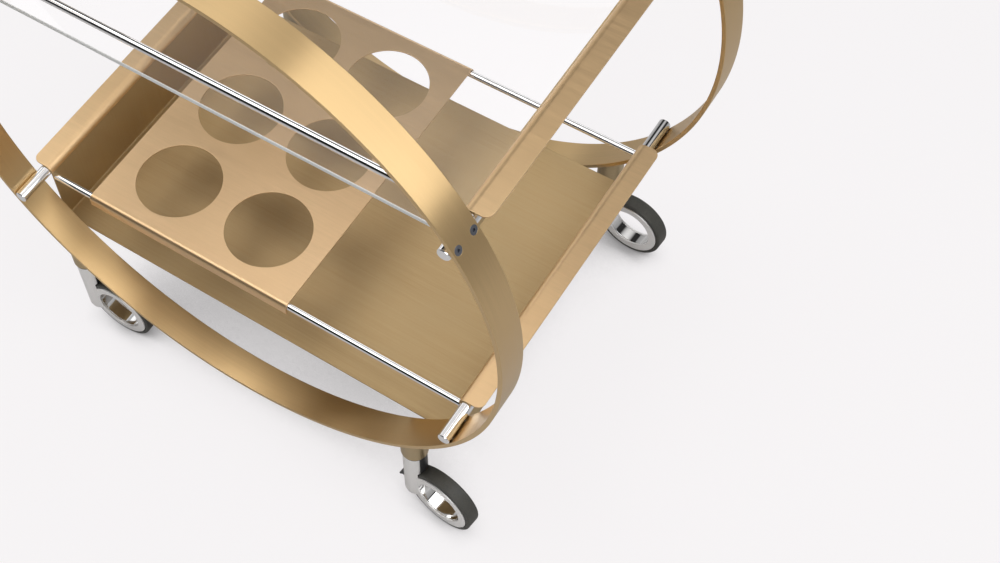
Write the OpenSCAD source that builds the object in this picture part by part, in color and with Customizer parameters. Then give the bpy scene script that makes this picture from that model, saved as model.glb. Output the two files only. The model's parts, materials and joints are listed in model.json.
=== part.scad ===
/* [Hoops] */
// Outside diameter of a hoop
hoop_d = 700; // [660:5:760]
// Width of the flat bar that a hoop is rolled from
band_w = 37.5; // [34:0.5:44]
// Thickness of the flat bar
band_t = 5; // [4:0.5:7]
// Broken edge of the flat bar
band_edge = 0.6; // [0.4:0.1:1.2]
// Depth of the cart over both hoops
cart_depth = 468; // [430:2:520]

/* [Cross rods] */
// Diameter of the four rods that join the hoops
rod_d = 14; // [12:0.5:18]
// How far a rod's end stands past the hoop's face
rod_over = 1; // [0.5:0.5:4]
// Chamfer on a rod's end
rod_chamfer = 0.8; // [0.4:0.1:1.5]
// Angle of the lower rods below the hoop's centre, in degrees
low_angle = 33; // [30:0.5:36]
// Angle of the upper rods above the hoop's centre, in degrees
high_angle = 30.5; // [28:0.5:34]
// Space between a rod and the inside of the hoop
rod_seat = 0.1; // [0.05:0.05:0.3]

/* [Hoop screws] */
// Thread diameter of a hoop screw
screw_d = 5; // [4:0.5:6]
// Diameter of its countersunk head
screw_head_d = 9.6; // [8:0.2:11]
// Length of a hoop screw
screw_len = 14; // [12:0.5:16]
// Distance between the two screws of a joint
screw_pitch = 24; // [20:0.5:26]
// Width across flats of the socket in a hoop screw
screw_socket = 3; // [2:0.5:4]
// Depth of that socket
screw_socket_h = 2; // [1:0.5:2.5]

/* [Sheet metal] */
// Thickness of the tray sheet
sheet_t = 2; // [1.5:0.1:2.5]
// Space between a tray's edge and the hoop beside it
tray_gap = 6.5; // [4:0.5:12]
// Reach of a flange outward from its rod's axis
flange_reach = 17.5; // [12:0.5:22]
// Radius of a flange's free corners
flange_corner_r = 9; // [4:0.5:12]
// Space between a rod and the sheet bent over it
wrap_gap = 0.3; // [0.2:0.05:0.4]
// Inner radius of a plain bend
bend_r = 1.5; // [1:0.5:4]
// Depth of the lower tray, from its rods' axes to its floor
tray_drop = 84; // [60:1:100]

/* [Rails] */
// Diameter of a rail
rail_d = 8; // [6:0.5:10]
// Height of the lower rails below the lower rods' axes
low_rail_drop = 9.5; // [6:0.5:16]
// Height of the upper rails below the upper rods' axes
high_rail_drop = 7.5; // [7:0.5:16]
// Thread diameter of a rail screw
rail_screw_d = 3; // [2.5:0.5:4]
// Length of a rail screw
rail_screw_len = 14; // [10:1:20]
// Head diameter of a rail screw
rail_head_d = 5.5; // [5:0.5:7]
// Head height of a rail screw
rail_head_h = 1.8; // [1.4:0.1:2.4]

/* [Bottle holder] */
// Width of the bottle holder along the rails
holder_w = 274; // [264:1:290]
// Centre of the bottle holder along the rails, as it stands
holder_x = -82.5; // [-130:0.5:130]
// Thickness of its sheet
holder_t = 1.5; // [1.2:0.1:2]
// How far its skirts hang below the rails' axes
skirt_drop = 9; // [6:0.5:20]
// Diameter of a bottle hole
bottle_d = 100; // [80:1:108]
// Distance between bottle holes along the rails
bottle_pitch_x = 125.5; // [116:0.5:130]
// Distance between bottle holes across the rails
bottle_pitch_y = 119; // [112:1:122]

/* [Shelf] */
// Thickness of the glass shelf
glass_t = 6; // [5:0.5:8]
// Height of the upper rods' axes above the glass
shelf_drop = 44; // [34:1:60]
// Width of the ledges that carry the glass
ledge_w = 20; // [16:0.5:30]
// Radius of a ledge's inner corners
ledge_corner_r = 5; // [2:0.5:8]
// Space between the glass and an upstand
glass_gap = 1.2; // [0.8:0.1:3]
// Radius of the glass's corners
glass_corner_r = 3; // [1:0.5:8]
// Ground edge of the glass
glass_edge = 0.7; // [0.3:0.1:1.5]
// Diameter of the clear pads under the glass
pad_d = 12; // [8:0.5:15]
// Thickness of those pads
pad_t = 1; // [0.5:0.1:2]

/* [Casters] */
// Angle round the hoops from their lowest points to the casters, in degrees
caster_angle = 41.5; // [38:0.5:44]
// Diameter of a caster post
post_d = 31; // [26:0.5:35]
// Height of a post's lower end above the floor
caster_h = 117; // [112:0.5:124]
// Length of a post along its axis, up to the hoop
post_len = 34; // [30:0.5:44]
// Chamfer on a post's lower end
post_edge = 0.8; // [0.3:0.1:2]
// Thickness of the thrust washer under a post
washer_t = 2; // [1.5:0.1:3]
// How far a washer's rim lies inside the post's
washer_inset = 0.8; // [0.4:0.1:2]
// Diameter of a swivel stem
stem_d = 10; // [8:0.5:11]
// Length of a stem inside its post
stem_up = 24; // [18:1:26]
// Length of a stem inside its caster
stem_down = 26; // [18:1:32]
// Diameter of a caster's upright housing
column_d = 28; // [27:0.5:31]
// Height of the housing's lower end above the floor
column_low = 19; // [12:0.5:28]
// Rounding of the housing's lower end
column_round_r = 10; // [6:0.5:13]
// Rounding of the housing's upper edge
column_edge_r = 1; // [0.5:0.1:2]
// Thickness of the black core between the silver shells
core_w = 13; // [12.6:0.2:16]
// How far a wheel's axis trails its swivel axis
trail = 39; // [36:0.5:44]
// Swivel angle of the front left caster
front_left_angle = 0.5; // [-180:0.5:180]
// Swivel angle of the front right caster
front_right_angle = -7; // [-180:0.5:180]
// Swivel angle of the rear left caster
rear_left_angle = 2; // [-180:0.5:180]
// Swivel angle of the rear right caster
rear_right_angle = -4; // [-180:0.5:180]

/* [Wheels] */
// Diameter of a wheel over its tyre
wheel_d = 87; // [84:0.5:92]
// Width of the tyre's tread
tread_w = 18; // [16:0.5:21]
// Rounding of the tread's shoulders
shoulder_r = 2; // [1:0.25:3]
// Width of the wheel core and of the tyre's foot
foot_w = 14; // [12:0.5:15]
// Diameter of the silver ring faces
face_d = 76.5; // [76:0.5:79]
// Thickness of a ring face
face_t = 2.3; // [1.8:0.1:2.6]
// Chamfer round a ring face
face_edge = 0.7; // [0.3:0.1:1.2]
// Diameter of the open bore through a wheel
bore_d = 57.5; // [54:0.5:62]
// Wall of the polished bore ring
race_t = 2.8; // [2:0.1:3.5]
// Radial wall of the wheel core
wheel_core_t = 4.5; // [3.5:0.1:5]
// Radial clearance between the wheel core and the bore ring
race_fit = 0.1; // [0.05:0.01:0.1]
// Radial clearance round a stem
stem_fit = 0.05; // [0.02:0.01:0.1]

/* [Brake] */
// Diameter of a brake lever's pin
brake_pin_d = 3; // [2:0.5:4]
// Height of that pin above the floor
brake_pin_h = 52; // [48:1:58]
// Width of a brake lever
brake_w = 8; // [6:0.5:9]
// How far the pedal's tip stands out of the housing
pedal_out = 9.5; // [6:0.5:14]
// How far the pedal's tip hangs below the pin
pedal_drop = 24; // [16:1:27]
// Thickness of the pedal at its tip
pedal_t = 3; // [2:0.5:5]
// Angle that the lever turns through when it is pressed in
brake_press = 12; // [6:1:15]

/* [Hidden] */

brass = "#c39a62";
steel = "#e4e4e6";
satin = "#cfcbc6";
black = "#2a2a2c";
rubber = "#3b3b38";
nylon = "#55555a";
clear = [0.85, 0.93, 0.92, 0.3];

// Clearance round a fixed screw or pin
fixed_fit = 0.05;
// Running clearance between flat faces that turn on each other
face_fit = 0.3;
// How far a cut runs past the face that it starts from
overrun = 1;

hoop_r = hoop_d / 2;
caster_x = hoop_r * sin(caster_angle);
hoop_h = caster_h + post_len + hoop_r * cos(caster_angle);
hoop_y = cart_depth / 2 - band_w / 2;
rod_r = rod_d / 2;
rod_len = cart_depth + 2 * rod_over;
rod_circle_r = hoop_r - band_t - rod_seat - rod_r;
low_rod_x = rod_circle_r * cos(low_angle);
low_rod_h = hoop_h - rod_circle_r * sin(low_angle);
high_rod_x = rod_circle_r * cos(high_angle);
high_rod_h = hoop_h + rod_circle_r * sin(high_angle);
joint_angles = [-low_angle, 180 + low_angle, high_angle, 180 - high_angle];

tray_len = cart_depth - 2 * band_w - 2 * tray_gap;
wrap_r = rod_r + wrap_gap;
low_face_x = low_rod_x - wrap_r - sheet_t;
high_face_x = high_rod_x - wrap_r - sheet_t;
rail_r = rail_d / 2;
rail_y = tray_len / 2 - rail_r;
low_rail_h = low_rod_h - low_rail_drop;
high_rail_h = high_rod_h - high_rail_drop;
holder_wrap_r = rail_r + wrap_gap;
ledge_drop = shelf_drop + glass_t + pad_t;
pad_inset = ledge_w / 2;
pad_y = tray_len / 2 - pad_d;

caster_y = hoop_y;
post_r = post_d / 2;
post_top_h = hoop_h - sqrt(pow(hoop_r, 2) - pow(caster_x + post_r, 2));
column_r = column_d / 2;
column_top = caster_h - washer_t - face_fit;
wheel_r = wheel_d / 2;
face_r = face_d / 2;
bore_r = bore_d / 2;
core_ring_r = bore_r + race_t + race_fit;
foot_r = core_ring_r + wheel_core_t;
face_in = foot_w / 2 + face_fit * 2;
face_out = face_in + face_t;
tread_gap = 1.2;
stem_groove_w = 1.2;
stem_groove_depth = 0.8;
stem_groove_up = stem_up * 0.7;
stem_chamfer = 0.8;
brake_slot_gap = 0.3;
brake_eye_r = brake_pin_d;
brake_nub_r = brake_pin_d / 2;
core_front_x = trail - wheel_r - tread_gap;
brake_pin_x = (core_front_x - column_r) / 2;
nub_x = trail - wheel_r - face_fit - brake_nub_r - brake_pin_x;
nub_h = wheel_r - brake_pin_h;
pedal_x = -column_r - pedal_out - brake_pin_x;
brake_slot_low = brake_pin_h - pedal_drop;
brake_slot_high = brake_pin_h + brake_eye_r + brake_slot_gap;

module soft_rect(w, h, r) {
    // Rectangle with rounded corners, its middle at the origin
    square([w - 2 * r, h], center = true);
    square([w, h - 2 * r], center = true);
    for (x = [-1, 1], y = [-1, 1])
        translate([x * (w / 2 - r), y * (h / 2 - r)]) circle(r, $fn = 32);
}

module along_y(length) {
    // Extrudes an outline in X and height along Y, its middle at Y = 0
    rotate([90, 0, 0]) linear_extrude(length, center = true) children();
}

module outward(angle) {
    // Turns local +Z to point out of the hoop's centre at this angle
    rotate([0, 90 - angle, 0]) children();
}

module screw_places(side, angle) {
    for (k = [-1, 1])
        translate([0, side * hoop_y + k * screw_pitch / 2, hoop_h])
        outward(angle)
        translate([0, 0, hoop_r])
        children();
}

module hoop(side) {
    low = -band_w / 2;
    high = band_w / 2;
    inner = hoop_r - band_t;
    color(brass)
    difference() {
        translate([0, side * hoop_y, hoop_h])
        rotate([90, 0, 0])
        rotate_extrude($fn = 240)
        polygon([[inner, low + band_edge], [inner + band_edge, low],
            [hoop_r - band_edge, low], [hoop_r, low + band_edge],
            [hoop_r, high - band_edge], [hoop_r - band_edge, high],
            [inner + band_edge, high], [inner, high - band_edge]]);
        for (angle = joint_angles) screw_places(side, angle) screw_hole();
    }
}

module screw_hole() {
    head_h = (screw_head_d - screw_d) / 2;
    head_r = screw_head_d / 2 + 2 * fixed_fit;
    shank_r = screw_d / 2 + 2 * fixed_fit;
    translate([0, 0, -head_h])
    cylinder(head_h + overrun, shank_r, head_r + overrun, $fn = 48);
    translate([0, 0, -band_t - overrun]) cylinder(band_t + overrun, r = shank_r, $fn = 48);
}

module hoop_screw() {
    head_h = (screw_head_d - screw_d) / 2;
    difference() {
        union() {
            translate([0, 0, -head_h]) cylinder(head_h, screw_d / 2, screw_head_d / 2, $fn = 48);
            translate([0, 0, -screw_len]) cylinder(screw_len - head_h, d = screw_d, $fn = 48);
        }
        translate([0, 0, -screw_socket_h])
        cylinder(screw_socket_h + overrun, d = screw_socket / cos(30), $fn = 6);
    }
}

module hoop_screws() {
    color(steel)
    for (side = [-1, 1], angle = joint_angles)
        screw_places(side, angle) translate([0, 0, -fixed_fit]) hoop_screw();
}

module cross_rod(angle) {
    color(steel)
    difference() {
        translate([rod_circle_r * cos(angle), 0, hoop_h + rod_circle_r * sin(angle)])
        rotate([90, 0, 0])
        rotate_extrude($fn = 64)
        polygon([[0, -rod_len / 2], [rod_r - rod_chamfer, -rod_len / 2],
            [rod_r, -rod_len / 2 + rod_chamfer], [rod_r, rod_len / 2 - rod_chamfer],
            [rod_r - rod_chamfer, rod_len / 2], [0, rod_len / 2]]);
        for (side = [-1, 1]) screw_places(side, angle)
            translate([0, 0, -screw_len - overrun])
            cylinder(screw_len, r = screw_d / 2 + fixed_fit, $fn = 48);
    }
}

module quarter_bend(inner_r, t) {
    // Quarter ring of sheet in the quadrant left of and above its centre
    intersection() {
        difference() {
            circle(inner_r + t, $fn = 64);
            circle(inner_r, $fn = 64);
        }
        translate([-inner_r - t, 0]) square(inner_r + t);
    }
}

module end_profile(drop) {
    // Flange, bend over the rod, upstand and lower bend, from the rod's axis
    face = wrap_r + sheet_t;
    quarter_bend(wrap_r, sheet_t);
    translate([0, wrap_r]) square([flange_reach, sheet_t]);
    translate([-face, bend_r - drop]) square([sheet_t, drop - bend_r]);
    translate([-face - bend_r, bend_r - drop]) rotate(180) quarter_bend(bend_r, sheet_t);
}

module corner_cut(r) {
    // What rounding leaves of a square corner at the origin, in quadrant one
    difference() {
        translate([-r, -r]) square(r + overrun);
        translate([-r, -r]) circle(r, $fn = 64);
        translate([-2 * r, -2 * r]) square([r, 2 * r + overrun]);
        translate([-2 * r, -2 * r]) square([2 * r + overrun, r]);
    }
}

module flange_corner_cuts(rod_x, rod_h, side) {
    for (k = [-1, 1])
        translate([side * (rod_x + flange_reach), k * tray_len / 2, rod_h + rod_r])
        mirror([side < 0 ? 1 : 0, 0, 0])
        mirror([0, k < 0 ? 1 : 0, 0])
        linear_extrude(sheet_t + 2 * overrun)
        corner_cut(flange_corner_r);
}

module rail_screw_holes(face_x, rail_h, side) {
    for (k = [-1, 1])
        translate([side * (face_x - overrun), k * rail_y, rail_h])
        rotate([0, side * 90, 0])
        cylinder(sheet_t + 2 * overrun, r = rail_screw_d / 2 + fixed_fit, $fn = 32);
}

module lower_tray() {
    floor_h = low_rod_h - tray_drop - sheet_t;
    floor_x = low_face_x - bend_r;
    color(brass)
    difference() {
        along_y(tray_len) {
            translate([-floor_x, floor_h]) square([2 * floor_x, sheet_t]);
            translate([low_rod_x, low_rod_h]) end_profile(tray_drop);
            mirror([1, 0]) translate([low_rod_x, low_rod_h]) end_profile(tray_drop);
        }
        for (side = [-1, 1]) {
            flange_corner_cuts(low_rod_x, low_rod_h, side);
            rail_screw_holes(low_face_x, low_rail_h, side);
        }
    }
}

module shelf_bracket(side) {
    ledge_x = high_face_x - bend_r;
    ledge_h = high_rod_h - ledge_drop - sheet_t;
    color(brass)
    difference() {
        mirror([side < 0 ? 1 : 0, 0, 0])
        along_y(tray_len) {
            translate([high_rod_x, high_rod_h]) end_profile(ledge_drop);
            translate([high_face_x - ledge_w, ledge_h]) square([ledge_w - bend_r, sheet_t]);
        }
        flange_corner_cuts(high_rod_x, high_rod_h, side);
        rail_screw_holes(high_face_x, high_rail_h, side);
        for (k = [-1, 1])
            translate([side * (high_face_x - ledge_w), k * tray_len / 2, ledge_h - overrun])
            mirror([side < 0 ? 0 : 1, 0, 0])
            mirror([0, k < 0 ? 1 : 0, 0])
            linear_extrude(sheet_t + 2 * overrun)
            corner_cut(ledge_corner_r);
    }
}

module rail(face_x, rail_h, side) {
    bore_len = rail_screw_len - sheet_t + overrun;
    color(steel)
    difference() {
        translate([-face_x, side * rail_y, rail_h])
        rotate([0, 90, 0])
        cylinder(2 * face_x, d = rail_d, $fn = 48);
        for (end = [-1, 1])
            translate([end * (face_x - bore_len), side * rail_y, rail_h])
            rotate([0, end * 90, 0])
            cylinder(bore_len + overrun, r = rail_screw_d / 2 + fixed_fit, $fn = 32);
    }
}

module rail_screw() {
    // Under side of the head at the origin, shank along -Z
    difference() {
        union() {
            cylinder(rail_head_h, d = rail_head_d, $fn = 32);
            translate([0, 0, -rail_screw_len]) cylinder(rail_screw_len, d = rail_screw_d, $fn = 32);
        }
        translate([0, 0, rail_head_h / 2])
        cylinder(rail_head_h, d = rail_screw_d * 0.7, $fn = 6);
    }
}

module rail_screws() {
    color(steel)
    for (end = [-1, 1], side = [-1, 1]) {
        translate([end * (low_face_x + sheet_t), side * rail_y, low_rail_h])
        rotate([0, end * 90, 0])
        rail_screw();
        translate([end * (high_face_x + sheet_t), side * rail_y, high_rail_h])
        rotate([0, end * 90, 0])
        rail_screw();
    }
}

module bottle_holder() {
    top_h = low_rail_h + holder_wrap_r;
    color(brass)
    translate([holder_x, 0, 0])
    difference() {
        rotate([90, 0, 90])
        linear_extrude(holder_w, center = true) {
            translate([-rail_y, top_h]) square([2 * rail_y, holder_t]);
            for (k = [0, 1]) mirror([k, 0]) translate([-rail_y, low_rail_h]) {
                quarter_bend(holder_wrap_r, holder_t);
                translate([-holder_wrap_r - holder_t, -skirt_drop]) square([holder_t, skirt_drop]);
            }
        }
        for (i = [-1, 1], j = [-1, 0, 1])
            translate([i * bottle_pitch_x / 2, j * bottle_pitch_y, top_h - overrun])
            cylinder(holder_t + 2 * overrun, d = bottle_d, $fn = 96);
    }
}

module ground_bar(w, length) {
    // Bar along Y with its long edges ground off, as wide as the glass
    edge = glass_edge;
    along_y(length)
    polygon([[-w / 2, edge], [edge - w / 2, 0], [w / 2 - edge, 0], [w / 2, edge],
        [w / 2, glass_t - edge], [w / 2 - edge, glass_t], [edge - w / 2, glass_t],
        [-w / 2, glass_t - edge]]);
}

module glass_shelf() {
    w = 2 * (high_face_x - glass_gap);
    color(clear)
    translate([0, 0, high_rod_h - shelf_drop - glass_t])
    intersection() {
        translate([0, 0, -overrun])
        linear_extrude(glass_t + 2 * overrun)
        soft_rect(w, tray_len, glass_corner_r);
        ground_bar(w, tray_len + 2 * overrun);
        rotate([0, 0, 90]) ground_bar(tray_len, w + 2 * overrun);
    }
}

module shelf_pads() {
    color(clear)
    for (end = [-1, 1], side = [-1, 1])
        translate([end * (high_face_x - pad_inset), side * pad_y, high_rod_h - ledge_drop])
        cylinder(pad_t, d = pad_d, $fn = 32);
}

module post(end, side) {
    color(brass)
    difference() {
        translate([end * caster_x, side * caster_y, caster_h])
        rotate_extrude($fn = 64)
        polygon([[0, 0], [post_r - post_edge, 0], [post_r, post_edge],
            [post_r, post_top_h - caster_h], [0, post_top_h - caster_h]]);
        translate([0, side * caster_y, hoop_h])
        rotate([90, 0, 0])
        cylinder(band_w + post_d, r = hoop_r + fixed_fit, center = true, $fn = 240);
        translate([end * caster_x, side * caster_y, caster_h - overrun])
        cylinder(stem_up + 2 * overrun, r = stem_d / 2 + fixed_fit, $fn = 48);
    }
}

module stem(end, side) {
    r = stem_d / 2;
    neck_r = r - stem_groove_depth;
    color(steel)
    translate([end * caster_x, side * caster_y, caster_h])
    rotate_extrude($fn = 48)
    polygon([[0, -stem_down], [r - stem_chamfer, -stem_down], [r, stem_chamfer - stem_down],
        [r, stem_groove_up], [neck_r, stem_groove_up], [neck_r, stem_groove_up + stem_groove_w],
        [r, stem_groove_up + stem_groove_w], [r, stem_up - stem_chamfer],
        [r - stem_chamfer, stem_up], [0, stem_up]]);
}

module thrust_washers() {
    color(black)
    for (end = [-1, 1], side = [-1, 1])
        translate([end * caster_x, side * caster_y, caster_h - washer_t])
        difference() {
            cylinder(washer_t, r = post_r - washer_inset, $fn = 64);
            translate([0, 0, -overrun])
            cylinder(washer_t + 2 * overrun, r = stem_d / 2 + face_fit, $fn = 48);
        }
}

module at_caster(end, side, turn) {
    // Swivel axis at the origin, wheel trailing along +X
    translate([end * caster_x, side * caster_y, 0]) rotate([0, 0, turn]) children();
}

module at_axle() {
    // Wheel axis along local +Z
    translate([trail, 0, wheel_r]) rotate([90, 0, 0]) children();
}

module column() {
    flat_r = column_r - column_round_r;
    rotate_extrude($fn = 64)
    intersection() {
        union() {
            translate([0, column_low]) square([flat_r, column_round_r]);
            translate([flat_r, column_low + column_round_r]) circle(column_round_r, $fn = 64);
            translate([0, column_low + column_round_r])
            square([column_r, column_top - column_edge_r - column_low - column_round_r]);
            translate([0, column_top - column_edge_r])
            square([column_r - column_edge_r, column_edge_r]);
            translate([column_r - column_edge_r, column_top - column_edge_r])
            circle(column_edge_r, $fn = 32);
        }
        square([column_r, column_top]);
    }
}

module tread_room() {
    // Space round the tyre that the housing leaves open
    at_axle()
    cylinder(tread_w + face_fit * 2, r = wheel_r + tread_gap, center = true, $fn = 96);
}

module ring_face() {
    // Disc under a ring face, its chamfered rim away from the wheel
    rotate_extrude($fn = 96)
    polygon([[0, face_in], [face_r, face_in], [face_r, face_out - face_edge],
        [face_r - face_edge, face_out], [0, face_out]]);
}

module side_shell(end, side, turn, face) {
    // face is -1 for the shell towards the front of the cart, 1 towards the rear
    color(satin)
    at_caster(end, side, turn)
    difference() {
        union() {
            difference() {
                column();
                translate([-column_d, face > 0 ? -column_d : -core_w / 2, 0])
                cube([2 * column_d, column_d + core_w / 2, caster_h]);
                tread_room();
            }
            at_axle() mirror([0, 0, face > 0 ? 1 : 0]) ring_face();
        }
        at_axle() cylinder(2 * column_d, r = bore_r, center = true, $fn = 96);
    }
}

module core(end, side, turn, braked) {
    color(black)
    at_caster(end, side, turn)
    difference() {
        intersection() {
            column();
            translate([-column_d, -core_w / 2, 0]) cube([2 * column_d, core_w, caster_h]);
        }
        tread_room();
        translate([0, 0, column_top - stem_down])
        cylinder(stem_down + overrun, r = stem_d / 2 + stem_fit, $fn = 48);
        if (braked) {
            translate([-column_d, -brake_w / 2 - brake_slot_gap, brake_slot_low])
            cube([2 * column_d, brake_w + 2 * brake_slot_gap, brake_slot_high - brake_slot_low]);
            translate([brake_pin_x, 0, brake_pin_h])
            rotate([90, 0, 0])
            cylinder(core_w + overrun, r = brake_pin_d / 2 + fixed_fit, center = true, $fn = 32);
        }
    }
}

module bore_ring(end, side, turn) {
    color(steel)
    at_caster(end, side, turn)
    at_axle()
    difference() {
        cylinder(2 * face_in, r = bore_r + race_t, center = true, $fn = 96);
        cylinder(2 * face_in + overrun, r = bore_r, center = true, $fn = 96);
    }
}

module wheel_core(end, side, turn) {
    color(nylon)
    at_caster(end, side, turn)
    at_axle()
    difference() {
        cylinder(foot_w, r = foot_r - fixed_fit, center = true, $fn = 96);
        cylinder(foot_w + overrun, r = core_ring_r, center = true, $fn = 96);
    }
}

module tyre(end, side, turn) {
    tread_r = face_r + face_fit * 2;
    color(rubber)
    at_caster(end, side, turn)
    at_axle()
    rotate_extrude($fn = 96) {
        translate([foot_r, -foot_w / 2]) square([tread_r + shoulder_r - foot_r, foot_w]);
        translate([(tread_r + wheel_r) / 2, 0]) soft_rect(wheel_r - tread_r, tread_w, shoulder_r);
    }
}

module brake_pin(end, side, turn) {
    color(steel)
    at_caster(end, side, turn)
    translate([brake_pin_x, 0, brake_pin_h])
    rotate([90, 0, 0])
    cylinder(core_w - 2 * fixed_fit, d = brake_pin_d, center = true, $fn = 32);
}

module pedal() {
    // Outline in X and height from the pin's axis, with an arched foot
    foot_x = pedal_x / 2;
    web_r = brake_eye_r * 0.8;
    polygon([[-web_r, 0], [-web_r * 0.4, -web_r],
        [foot_x + pedal_t, -pedal_drop + pedal_t], [foot_x, -pedal_drop + pedal_t],
        [foot_x, -pedal_drop + 2 * pedal_t],
        [pedal_x + pedal_t / 2, -pedal_drop], [pedal_x, -pedal_drop + pedal_t / 2]]);
}

module brake_lever(end, side, turn) {
    arm_r = brake_nub_r * 0.8;
    arm_top = brake_eye_r * 0.65;
    color(black)
    at_caster(end, side, turn)
    translate([brake_pin_x, 0, brake_pin_h])
    rotate([90, 0, 0])
    difference() {
        union() {
            cylinder(brake_w, r = brake_eye_r, center = true, $fn = 48);
            linear_extrude(brake_w, center = true) pedal();
            rotate(-brake_press) {
                translate([nub_x, nub_h, 0])
                cylinder(brake_w, r = brake_nub_r, center = true, $fn = 32);
                linear_extrude(brake_w, center = true)
                polygon([[-arm_r, -arm_top], [nub_x - arm_r, nub_h],
                    [nub_x + arm_r, nub_h], [arm_r, -arm_top]]);
            }
        }
        cylinder(brake_w + overrun, r = brake_pin_d / 2 + fixed_fit, center = true, $fn = 32);
    }
}

hoop(-1);  // hoop_front
hoop(1);  // hoop_rear
cross_rod(180 + low_angle);  // cross_rod_lower_left
cross_rod(-low_angle);  // cross_rod_lower_right
cross_rod(180 - high_angle);  // cross_rod_upper_left
cross_rod(high_angle);  // cross_rod_upper_right
hoop_screws();
lower_tray();
rail(low_face_x, low_rail_h, -1);  // rail_lower_front
rail(low_face_x, low_rail_h, 1);  // rail_lower_rear
rail(high_face_x, high_rail_h, -1);  // rail_upper_front
rail(high_face_x, high_rail_h, 1);  // rail_upper_rear
rail_screws();
bottle_holder();
shelf_bracket(-1);  // shelf_bracket_left
shelf_bracket(1);  // shelf_bracket_right
glass_shelf();
shelf_pads();
post(-1, -1);  // post_front_left
post(1, -1);  // post_front_right
post(-1, 1);  // post_rear_left
post(1, 1);  // post_rear_right
stem(-1, -1);  // stem_front_left
stem(1, -1);  // stem_front_right
stem(-1, 1);  // stem_rear_left
stem(1, 1);  // stem_rear_right
thrust_washers();
side_shell(-1, -1, front_left_angle, -1);  // outer_shell_front_left
side_shell(1, -1, front_right_angle, -1);  // outer_shell_front_right
side_shell(-1, 1, rear_left_angle, 1);  // outer_shell_rear_left
side_shell(1, 1, rear_right_angle, 1);  // outer_shell_rear_right
side_shell(-1, -1, front_left_angle, 1);  // inner_shell_front_left
side_shell(1, -1, front_right_angle, 1);  // inner_shell_front_right
side_shell(-1, 1, rear_left_angle, -1);  // inner_shell_rear_left
side_shell(1, 1, rear_right_angle, -1);  // inner_shell_rear_right
core(-1, -1, front_left_angle, false);  // core_front_left
core(1, -1, front_right_angle, true);  // core_front_right
core(-1, 1, rear_left_angle, false);  // core_rear_left
core(1, 1, rear_right_angle, true);  // core_rear_right
bore_ring(-1, -1, front_left_angle);  // bore_ring_front_left
bore_ring(1, -1, front_right_angle);  // bore_ring_front_right
bore_ring(-1, 1, rear_left_angle);  // bore_ring_rear_left
bore_ring(1, 1, rear_right_angle);  // bore_ring_rear_right
wheel_core(-1, -1, front_left_angle);  // wheel_core_front_left
wheel_core(1, -1, front_right_angle);  // wheel_core_front_right
wheel_core(-1, 1, rear_left_angle);  // wheel_core_rear_left
wheel_core(1, 1, rear_right_angle);  // wheel_core_rear_right
tyre(-1, -1, front_left_angle);  // tyre_front_left
tyre(1, -1, front_right_angle);  // tyre_front_right
tyre(-1, 1, rear_left_angle);  // tyre_rear_left
tyre(1, 1, rear_right_angle);  // tyre_rear_right
brake_lever(1, -1, front_right_angle);  // brake_lever_front_right
brake_lever(1, 1, rear_right_angle);  // brake_lever_rear_right
brake_pin(1, -1, front_right_angle);  // brake_pin_front_right
brake_pin(1, 1, rear_right_angle);  // brake_pin_rear_right
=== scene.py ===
"""Bar cart: finished surfaces, edges and materials around the fixed frame."""
import json
import math

import bmesh
import bpy
from mathutils import Matrix, Vector


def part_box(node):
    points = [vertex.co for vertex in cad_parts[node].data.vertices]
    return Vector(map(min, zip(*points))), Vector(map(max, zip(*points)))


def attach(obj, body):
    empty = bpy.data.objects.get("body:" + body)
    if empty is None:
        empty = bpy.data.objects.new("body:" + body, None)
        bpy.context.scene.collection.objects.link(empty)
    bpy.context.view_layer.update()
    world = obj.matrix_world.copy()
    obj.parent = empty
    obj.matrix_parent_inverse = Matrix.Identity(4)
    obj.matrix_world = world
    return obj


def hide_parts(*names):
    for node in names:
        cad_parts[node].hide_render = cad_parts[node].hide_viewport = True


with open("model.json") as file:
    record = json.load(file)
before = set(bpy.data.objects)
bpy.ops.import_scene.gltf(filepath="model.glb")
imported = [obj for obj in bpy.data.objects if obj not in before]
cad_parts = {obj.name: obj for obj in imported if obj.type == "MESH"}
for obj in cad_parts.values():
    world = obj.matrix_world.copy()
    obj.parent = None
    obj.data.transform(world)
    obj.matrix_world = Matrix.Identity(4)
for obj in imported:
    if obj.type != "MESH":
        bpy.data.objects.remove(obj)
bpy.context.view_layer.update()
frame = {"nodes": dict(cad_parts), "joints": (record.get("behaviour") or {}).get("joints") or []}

MM = 0.001

# Hoops and their screws, in metres
HOOP_R = 350 * MM
BAND_T = 5 * MM
BAND_EDGE_R = 0.6 * MM
SCREW_HEAD_R = 4.8 * MM
SCREW_SHANK_R = 2.5 * MM
SCREW_CONE_H = SCREW_HEAD_R - SCREW_SHANK_R
SCREW_RIM_H = 0.3 * MM
SCREW_RIM_R = 0.2 * MM
SCREW_TIP_R = 0.3 * MM
SCREW_REACH = 14 * MM
SCREW_SUNK = 0.05 * MM
SCREW_PITCH = 24 * MM
SCREW_SOCKET_R = 1.7 * MM
SCREW_SOCKET_H = 2 * MM
SCREW_FIT = 0.1 * MM
LOW_ANGLE = math.radians(33)
HIGH_ANGLE = math.radians(30.5)
JOINT_ANGLES = (-LOW_ANGLE, math.pi + LOW_ANGLE, HIGH_ANGLE, math.pi - HIGH_ANGLE)

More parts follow.
